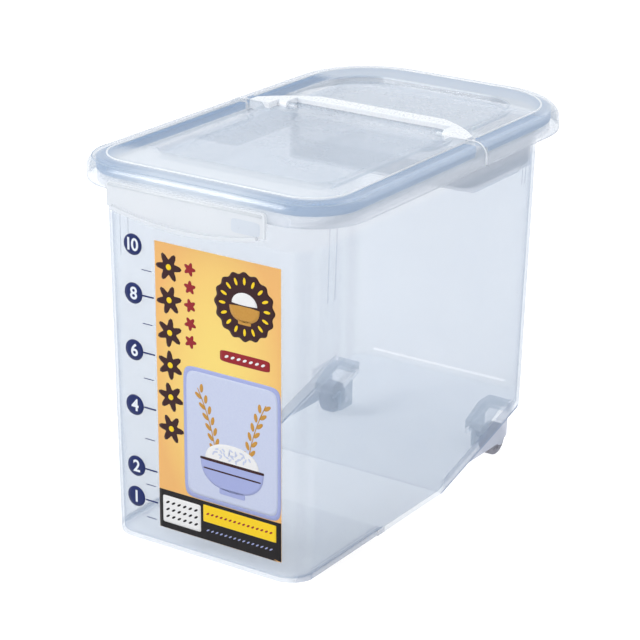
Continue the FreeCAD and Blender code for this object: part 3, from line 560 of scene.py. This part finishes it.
LABEL_PRINT = (             # name, ink, layer, shapes
    ("label_foot", black_ink, 1, [(LABEL_MIDDLE, foot_z, LABEL_HALF - PRINT_MARGIN, LABEL_BAND_HALF, 400)]),
    ("label_panel_edge", lilac_ink, 1, [(PANEL_X, PANEL_Z, 41.4, 50.6, 14)]),
    ("label_panel", blue_ink, 2, [(PANEL_X, PANEL_Z, 38.9, 47.6, 14)]),
    ("label_foot_white", label_white, 2, [(-17.5, 31.0, 16.8, 10.6, 24)]),
    ("label_foot_yellow", yellow_ink, 2, [(33.0, DOTS_HIGH, 31.5, 6.6, 60)]),
    ("label_foot_grains", black_ink, 3, grains(foot_grid, 1.9, 0.8, 0.6)),
    ("label_foot_dots", red_ink, 3, grains([(x, DOTS_HIGH) for x in dot_xs], 1.5, 0.7, 0.6)),
    ("label_foot_pale", lilac_ink, 2, grains([(x, DOTS_LOW) for x in dot_xs], 1.5, 0.5, 0.6)),
    ("label_rosettes", brown_ink, 1,
     [(ROSETTE_X, z, 11.2, 11.2, ROUND, 0.2 * i, 6, 0.5) for i, z in enumerate(rosette_zs)]),
    ("label_rosette_eyes", yellow_ink, 2, grains([(ROSETTE_X, z) for z in rosette_zs], 2.2, 2.2, 0)),
    ("label_small_rosettes", red_ink, 1,
     [(STAR_X, z, 5.2, 5.2, ROUND, 0.3 * i, 5, 0.45) for i, z in enumerate(star_zs)]),
    ("label_badge", brown_ink, 1, [(BADGE_X, BADGE_Z, 25.5, 25.5, ROUND, 0, 16, 0.07)]),
    ("label_badge_ring", yellow_ink, 2, ring),
    ("label_badge_rice", label_white, 2, [(BADGE_X, 202.6, 10.6, 8.6, ROUND, 0, 0, 0, 1, 0.06)]),
    ("label_badge_bowl", ochre_ink, 2,
     [(BADGE_X, 200.6, 12.6, 11.0, 2.4, 0, 0, 0, 0.06, 1), (BADGE_X, 189.4, 5.4, 1.6, BOXY)]),
    ("label_pill", red_ink, 1, [(BADGE_X, PILL_Z, 21.0, 4.3, 7)]),
    ("label_pill_grains", label_white, 2,
     grains([(PILL_LEFT + PILL_STEP * i, PILL_Z) for i in range(PILL_GRAINS)], 1.8, 0.9, 0.5)),
    ("label_ear_right", ochre_ink, 3, ear(EAR_RIGHT, 1)),
    ("label_ear_left", ochre_ink, 3, ear(EAR_LEFT, -1)),
    ("label_bowl", lilac_ink, 4,
     [(PANEL_X, 79.6, 27.0, 21.0, 2.4, 0, 0, 0, 0.05, 1), (PANEL_X, 57.8, 11.0, 2.4, BOXY)]),
    ("label_bowl_band", brown_ink, 5, [(PANEL_X, 79.8, 27.4, 1.1, BOXY), (PANEL_X, 72.6, 24.6, 0.6, BOXY)]),
    ("label_rice", label_white, 4, [(PANEL_X, 80.8, 23.0, 14.0, 2.2, 0, 0, 0, 1, 0.05)]),
    ("label_rice_grains", blue_ink, 5, rice_grains),
)
for name, ink, layer, shapes in LABEL_PRINT:
    printed(name, shapes, LABEL_SKIN + layer * PRINT_STEP, ink)

# The lids: the flap and the lift-off rear lid, moulded in the same clear blue polypropylene as one another,
# milkier than the tub. A bead runs round the top over the seal, near white as a painted highlight, and a fine
# moulded step round the front shoulder, darker as painted shade. The front shoulder and the front and rear
# borders are painted lighter, as painted highlight.
LID_THIN = "#BECCDC"
LID_THICK = "#C9D5E2"
LID_EDGE = "#B9C7DA"
# A painted highlight on the lids' front shoulder and borders, lighter and milkier.
LID_PAINTED_HIGHLIGHT = "#E3EBF4"
LID_SKIRT = "#DEE4EE"
LID_PANEL = "#9FB3CB"
LID_REAR_SKIRT = "#AFBED0"
LID_LAYERS = (              # place, share of it that shows, colour, density
    ("skirt", 0.7, LID_SKIRT, 0.34),
    ("rear_skirt", 0.6, LID_REAR_SKIRT, 0.5),
    ("side_crest", 0.85, LID_PANEL, 0.2),
    ("panel", 0.7, LID_PANEL, 0.42),
    # shoulder, crest and rear_crest: painted highlight
    ("shoulder", 0.8, LID_PAINTED_HIGHLIGHT, 0.6),
    ("crest", 0.8, LID_PAINTED_HIGHLIGHT, 0.6),
    ("rear_crest", 0.55, LID_PAINTED_HIGHLIGHT, 0.6),
)
LID_FRONT, LID_REAR, LID_HALF = -178.85, 189.65, 113.1
LID_FRONT_CORNER, LID_REAR_CORNER = 45.0, 69.0
LID_CREST = 284.3
SEAM = 25.15
BAR_END_REAR = 36.15
BEAD_INSET, BEAD_RADIUS, FRONT_BEAD_DROP, REAR_BEAD_DROP = 14.4, 0.75, 0.2, 0.15
STEP_INSET, STEP_HEIGHT, STEP_RADIUS, STEP_GAP = 3.75, 282.1, 0.4, 2.0
HEM_INSET, HEM_HEIGHT, HEM_RADIUS = 0.25, 267.8, 0.5
FRONT_END_GAP, REAR_BEAD_GAP, REAR_HEM_GAP = 1.5, 1.5, 2.5
CREST_DROP, CREST_INSET, CREST_END, CREST_SIDE = 1.2, 14.0, -129.0, 26.0
SIDE_CREST_FOOT, SIDE_CREST_NEAR, SIDE_CREST_INSET, SIDE_CREST_FRONT = 281.0, 82.0, 11.5, -135.0
REAR_CREST = 120.0
PANEL_FOOT, PANEL_DROP, PANEL_HALF = 279.0, 2.2, 84.0
SHOULDER_LENGTH, SHOULDER_HALF = 14.0, 58.0
SKIRT_TOP = 275.0
CORNER_STEPS = 25
ROD_CORNERS = 12
UP, REARWARD = (0.0, 0.0, 1.0), (0.0, 1.0, 0.0)


def lid_places(tree, place):
    """The masks of the lids' layers. Skirt and rear_skirt are the upright sides and their rear corners, panel
    the flap's sunken window, side_crest the long borders beside it, shoulder the slope over the clasp, and
    crest and rear_crest the borders at the front and the rear. Shoulder, crest and rear_crest are painted
    highlight, lighter and milkier where the soft boxes reflect on the lids."""
    axes = add(tree, "SeparateXYZ", {0: place})
    y, z = axes.outputs["Y"], axes.outputs["Z"]
    across = add(tree, "Math", {0: axes.outputs["X"]}, operation="ABSOLUTE").outputs[0]
    raised = within(tree, z, LID_CREST - CREST_DROP, FAR, soft=0.4)
    skirt = within(tree, z, -FAR, SKIRT_TOP, soft=1.5)
    return {
        "skirt": skirt,
        "rear_skirt": together(tree, skirt, within(tree, y, REAR_CREST, FAR, soft=20)),
        "side_crest": together(tree, within(tree, z, SIDE_CREST_FOOT, FAR),
                               within(tree, across, SIDE_CREST_NEAR, LID_HALF - SIDE_CREST_INSET, soft=1.5),
                               within(tree, y, SIDE_CREST_FRONT, REAR_CREST, soft=8)),
        "panel": together(tree, within(tree, z, PANEL_FOOT, LID_CREST - PANEL_DROP),
                          within(tree, y, -FAR, SEAM), within(tree, across, -FAR, PANEL_HALF, soft=1)),
        "shoulder": together(tree, within(tree, y, -FAR, LID_FRONT + SHOULDER_LENGTH, soft=2),
                             within(tree, across, -FAR, SHOULDER_HALF, soft=24)),
        "crest": together(tree, raised, within(tree, y, LID_FRONT + CREST_INSET, CREST_END, soft=7),
                          within(tree, across, -FAR, LID_HALF - CREST_SIDE, soft=12)),
        "rear_crest": together(tree, raised, within(tree, y, REAR_CREST, FAR, soft=8)),
    }


clear_lid = moulded_plastic("moulded_clear_blue_lid", LID_THIN, LID_THICK, LID_EDGE, faced=0.26, edge_on=0.8,
                            roughness=0.16, flow=FLOW_LENGTH, grain=HAZE_GRAIN, relief=0.05, gloss=0.8,
                            places=lid_places, layers=LID_LAYERS)
# The bead's near white is a painted highlight along the crest.
highlight_bead = moulded_plastic("clear_moulded_bead_painted_highlight", "#F6FAFE", "#EFF5FB", "#E4EDF7", faced=0.7, edge_on=0.9,
                              roughness=0.12, flow=FLOW_LENGTH, grain=HAZE_GRAIN, relief=0.02, gloss=0.8)
# The step is coloured darker blue than the lid, as painted shade in the step.
step_painted_shade = moulded_plastic("clear_moulded_step_painted_shade", "#A9BCD2", "#B4C5D9", "#9DB1CA", faced=0.55, edge_on=0.8,
                            roughness=0.3, flow=FLOW_LENGTH, grain=HAZE_GRAIN, relief=0.02)
coat("front_lid", clear_lid)
coat("rear_lid", clear_lid)


def lid_run(inset, end_y, rear, height):
    """The lid's outline drawn in by an inset, at a height, from its cut end on one side round the front or
    the rear corners to the other: a corner's point is its centre plus its radius along the outward normal at
    angle t. The normals come with it."""
    radius = (LID_REAR_CORNER if rear else LID_FRONT_CORNER) - inset
    half = LID_HALF - inset
    centre_y = LID_REAR - inset - radius if rear else LID_FRONT + inset + radius
    quarter = np.linspace(0, np.pi / 2, CORNER_STEPS)
    t = np.concatenate([[0], quarter, quarter + np.pi / 2, [np.pi]]) + (0 if rear else np.pi)
    normal = np.stack([np.cos(t), np.sin(t), 0 * t], axis=1)
    side = np.where(np.arange(len(t)) <= CORNER_STEPS, 1.0, -1.0) * (1 if rear else -1)
    x = side * (half - radius) + radius * normal[:, 0]
    y = centre_y + radius * normal[:, 1]
    y[[0, -1]] = end_y
    return np.stack([x, y, 0 * x + height], axis=1), normal


def closed_piece(name, points, faces, material, body, smooth=True):
    """A closed piece with its faces turned outwards."""
    piece = mesh_object(name, points, faces, material, body, smooth)
    shell = bmesh.new()
    shell.from_mesh(piece.data)
    bmesh.ops.recalc_face_normals(shell, faces=shell.faces)
    shell.to_mesh(piece.data)
    shell.free()


def rod(name, path, side, up, half_side, half_up, material, body):
    """A rod carried along a path and closed at both ends: round each path point, the angle a gives half_side
    cos a along the side direction and half_up sin a along the up direction. A direction is one for the whole
    path or one for each point."""
    a = (np.arange(ROD_CORNERS) * 2 * np.pi / ROD_CORNERS)[None, :, None]
    side, up = (np.broadcast_to(direction, path.shape)[:, None, :] for direction in (side, up))
    points = path[:, None, :] + half_side * np.cos(a) * side + half_up * np.sin(a) * up
    row = (np.arange(len(path) - 1) * ROD_CORNERS)[:, None]
    along = np.arange(ROD_CORNERS)
    after = (along + 1) % ROD_CORNERS
    beyond = row + ROD_CORNERS
    quads = np.stack([row + along, row + after, beyond + after, beyond + along], axis=-1).reshape(-1, 4)
    ends = [along[::-1].tolist(), (along + (len(path) - 1) * ROD_CORNERS).tolist()]
    closed_piece(name, points.reshape(-1, 3), quads.tolist() + ends, material, body)


LID_BEADS = (               # name, on the rear lid, where its ends lie, inset, height, radius, finish
    ("front_lid_bead", False, SEAM - FRONT_END_GAP, BEAD_INSET, LID_CREST - FRONT_BEAD_DROP, BEAD_RADIUS,
     highlight_bead),
    ("front_lid_step", False, LID_FRONT + LID_FRONT_CORNER + STEP_GAP, STEP_INSET, STEP_HEIGHT, STEP_RADIUS,
     step_painted_shade),
    ("front_lid_hem", False, SEAM - FRONT_END_GAP, HEM_INSET, HEM_HEIGHT, HEM_RADIUS, clear_lid),
    ("rear_lid_bead", True, BAR_END_REAR + REAR_BEAD_GAP, BEAD_INSET, LID_CREST - REAR_BEAD_DROP, BEAD_RADIUS,
     highlight_bead),
    ("rear_lid_hem", True, SEAM + REAR_HEM_GAP, HEM_INSET, HEM_HEIGHT, HEM_RADIUS, clear_lid),
)
for name, rear, end_y, inset, height, radius, finish in LID_BEADS:
    path, normal = lid_run(inset, end_y, rear, height)
    body = "rear_lid_body" if rear else "flap_body"
    rod(name, path, normal, UP, radius, radius, finish, body)

# The seals: soft silicone profiles pressed into the lids over the tub's rim, mid blue and slightly
# translucent, which show through the milky lids as a blue band. A thin lip hangs from each on the outside.
SEAL_LIP_INSET, SEAL_LIP_MIDDLE, SEAL_LIP_HALF, SEAL_LIP_HALF_HEIGHT = 6.9, 276.2, 0.35, 2.4
SEAL_FRONT_GAP, SEAL_REAR_END = 4.0, 40.5
SEAL_LIPS = (               # name, body, on the rear lid, where its ends lie
    ("front_seal_lip", "flap_body", False, SEAM - SEAL_FRONT_GAP),
    ("rear_seal_lip", "rear_lid_body", True, SEAL_REAR_END),
)
silicone = moulded_plastic("soft_blue_silicone", "#7A9AC3", "#86A4CB", "#7090BA", faced=0.8, edge_on=0.92,
                           roughness=0.45, flow=20, grain=0.8, relief=0.05)
coat("front_seal", silicone)
coat("rear_seal", silicone)
for name, body, rear, end_y in SEAL_LIPS:
    path, normal = lid_run(SEAL_LIP_INSET, end_y, rear, SEAL_LIP_MIDDLE)
    rod(name, path, normal, UP, SEAL_LIP_HALF, SEAL_LIP_HALF_HEIGHT, silicone, body)

# The hinge bar: white polypropylene with a smooth satin face, moulded in one piece and snapped over two short
# pins. It joins the flap to the rear lid.
white_satin = moulded_plastic("white_polypropylene", "#F1F5FA", "#E9EFF7", roughness=0.28, flow=30, grain=1.5,
                              relief=0.02)
coat("hinge_bar", white_satin)

# The bar's lips: a thin white lip runs from each end of the bar over the lids' shoulder and down the skirt,
# and closes the seam between the flap and the rear lid.
SEAM_LIP_Y, SEAM_LIP_START, SEAM_LIP_FOOT = 25.9, 95.6, 268.2
SEAM_LIP_HALF, SEAM_LIP_THICK = 0.75, 0.4
LID_SHOULDER, SHOULDER_STEPS = 10.0, 13
t = np.linspace(0, np.pi / 2, SHOULDER_STEPS)
arc_x = LID_HALF - LID_SHOULDER + LID_SHOULDER * np.sin(t)
arc_z = LID_CREST - LID_SHOULDER + LID_SHOULDER * np.cos(t)
seam_x = np.concatenate([[SEAM_LIP_START], arc_x, [LID_HALF]])
seam_z = np.concatenate([[LID_CREST], arc_z, [SEAM_LIP_FOOT]])
seam_t = np.concatenate([[0], t, [np.pi / 2]])
for name, side in (("seam_lip_right", 1), ("seam_lip_left", -1)):
    path = np.stack([side * seam_x, 0 * seam_x + SEAM_LIP_Y, seam_z], axis=1)
    normal = np.stack([side * np.sin(seam_t), 0 * seam_t, np.cos(seam_t)], axis=1)
    rod(name, path, REARWARD, normal, SEAM_LIP_HALF, SEAM_LIP_THICK, white_satin, "rear_lid_body")

# The pins and axles: short rods turned from natural acetal, off white with fine turning marks, pressed into
# the hinge bar, the clasp and the tub.
natural_rod = moulded_plastic("turned_natural_acetal", "#E4E8EE", "#DDE2EA", roughness=0.32, flow=6,
                              grain=0.4, relief=0.08)
for node in ("hinge_pins", "clasp_pins", "axle_right", "axle_left"):
    coat(node, natural_rod)

# The clasp: frosted white polypropylene that lets a little light through. A rounded bead runs along its top
# edge, its lower edge is rolled, and a shallow thumb pad lies at its right end.
CLASP_FACE = -186.65
CLASP_END_Z, CLASP_LOW_Z, CLASP_HALF = 258.8, 250.4, 66.0
ROLL_HALF, ROLL_OUT, ROLL_RADIUS, ROLL_DEEPER, ROLL_STEPS = 60.6, -189.2, 1.35, 0.4, 49
TOP_BEAD_END, TOP_BEAD_Z, TOP_BEAD_DEPTH, TOP_BEAD_HALF, TOP_BEAD_STEPS = 2.2, 274.3, 0.8, 1.1, 3
PAD_X, PAD_Z, PAD_HALF, PAD_HALF_HEIGHT = 50.8, 264.6, 11.6, 4.9
PAD_OUT, PAD_IN, PAD_STEPS = 0.25, 0.3, 32

frosted = moulded_plastic("frosted_white_polypropylene", "#E6EAEF", "#DFE5EC", "#D7DFE9", faced=0.8,
                          edge_on=0.95, roughness=0.34, flow=30, grain=1.5, relief=0.02)
frosted_thin = moulded_plastic("frosted_thin_polypropylene", "#D7DFE9", "#D0D9E5", "#C9D4E2", faced=0.85,
                               edge_on=0.95, roughness=0.34, flow=30, grain=1.5, relief=0.02)
coat("front_clasp", frosted)

x = np.linspace(-ROLL_HALF, ROLL_HALF, ROLL_STEPS)
bow = CLASP_END_Z - CLASP_LOW_Z
bow_radius = (CLASP_HALF ** 2 + bow ** 2) / (2 * bow)
z = CLASP_LOW_Z + bow_radius - np.sqrt(bow_radius ** 2 - x ** 2) + ROLL_RADIUS
path = np.stack([x, 0 * x + ROLL_OUT + ROLL_RADIUS, z], axis=1)
rod("clasp_rolled_lip", path, REARWARD, UP, ROLL_RADIUS + ROLL_DEEPER, ROLL_RADIUS, frosted, "clasp_body")

x = np.linspace(-CLASP_HALF + TOP_BEAD_END, CLASP_HALF - TOP_BEAD_END, TOP_BEAD_STEPS)
path = np.stack([x, 0 * x + CLASP_FACE, 0 * x + TOP_BEAD_Z], axis=1)
rod("clasp_top_bead", path, REARWARD, UP, TOP_BEAD_DEPTH, TOP_BEAD_HALF, frosted, "clasp_body")

a = np.arange(PAD_STEPS) * 2 * np.pi / PAD_STEPS
corner = (np.abs(np.cos(a)) ** BOXY + np.abs(np.sin(a)) ** BOXY) ** (-1 / BOXY)
pad_x, pad_z = PAD_X + PAD_HALF * corner * np.cos(a), PAD_Z + PAD_HALF_HEIGHT * corner * np.sin(a)
front = np.stack([pad_x, 0 * a + CLASP_FACE - PAD_OUT, pad_z], axis=1)
rear = np.stack([pad_x, 0 * a + CLASP_FACE + PAD_IN, pad_z], axis=1)
along = np.arange(PAD_STEPS)
after = (along + 1) % PAD_STEPS
sides = np.stack([along, along + PAD_STEPS, after + PAD_STEPS, after], axis=1)
faces = sides.tolist() + [along.tolist(), (along[::-1] + PAD_STEPS).tolist()]
closed_piece("clasp_thumb_pad", np.concatenate([front, rear]), faces, frosted_thin, "clasp_body",
             smooth=False)

# The tray: a thin clear polypropylene moulding that hangs by its side flanges on the tub's shelf under the
# rear lid, and slides forward. It shows mostly by its edges.
clear_tray = moulded_plastic("moulded_clear_tray", "#B4C0D2", "#BFC9D8", "#98A6BC", faced=0.12, edge_on=0.5,
                             roughness=0.22, flow=FLOW_LENGTH, grain=HAZE_GRAIN, relief=0.03)
coat("tray", clear_tray)

# The wheels: short rollers of polyethylene with a matt skin, moulded in one piece each, dark grey and
# slightly see-through, that turn on their axles inside the housings and show below the edge of each fender.
grey_roller = moulded_plastic("grey_polyethylene_roller", "#84848F", "#8E8E9A", "#6C6C78", faced=0.85,
                               edge_on=0.97, roughness=0.5, flow=12, grain=0.8, relief=0.05)
coat("wheel_right", grey_roller)
coat("wheel_left", grey_roller)
